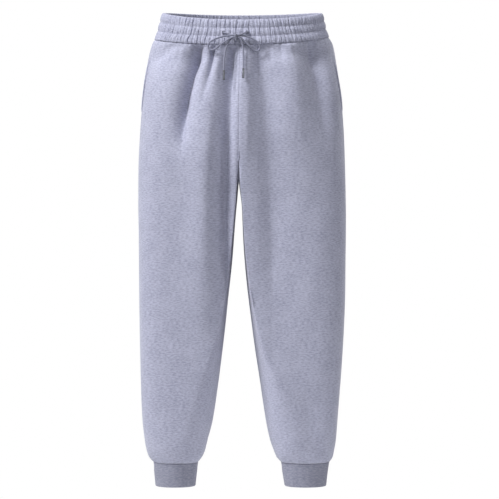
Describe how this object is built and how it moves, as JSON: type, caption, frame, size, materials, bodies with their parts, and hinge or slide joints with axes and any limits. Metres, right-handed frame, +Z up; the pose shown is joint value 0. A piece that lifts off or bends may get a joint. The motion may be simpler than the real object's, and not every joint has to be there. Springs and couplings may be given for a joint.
{
  "type": "jogger sweatpants",
  "caption": "Fleece jogger sweatpants with gathered drawstring waistband, side pockets and rib cuffs, filled out as if worn.",
  "frame": {"origin": "middle of the waist opening, halfway up the waistband at the sides", "axes": "+Z up along the legs towards the waist, front towards -Y, +X towards the wearer's left"},
  "size_m": [0.4356, 0.2755, 1.0076],
  "materials": {
    "fleece": "brushed heather fleece, dull",
    "waistband": "the same fleece over elastic, gathered",
    "rib": "rib knit, dull",
    "cord": "round braid, dull",
    "tips": "dark satin metal",
    "eyelets": "overcast thread"
  },
  "bodies": {
    "root": {"front_right": "fleece", "front_left": "fleece", "back_right": "fleece", "back_left": "fleece", "pocket_facing_right": "fleece", "pocket_facing_left": "fleece", "waistband": "waistband", "cuff_right": "rib", "cuff_left": "rib", "drawcord_right": "cord", "drawcord_left": "cord", "bow_knot": "cord", "aglet_right": "tips", "aglet_left": "tips", "eyelet_right": "eyelets", "eyelet_left": "eyelets"}
  },
  "joints": []
}
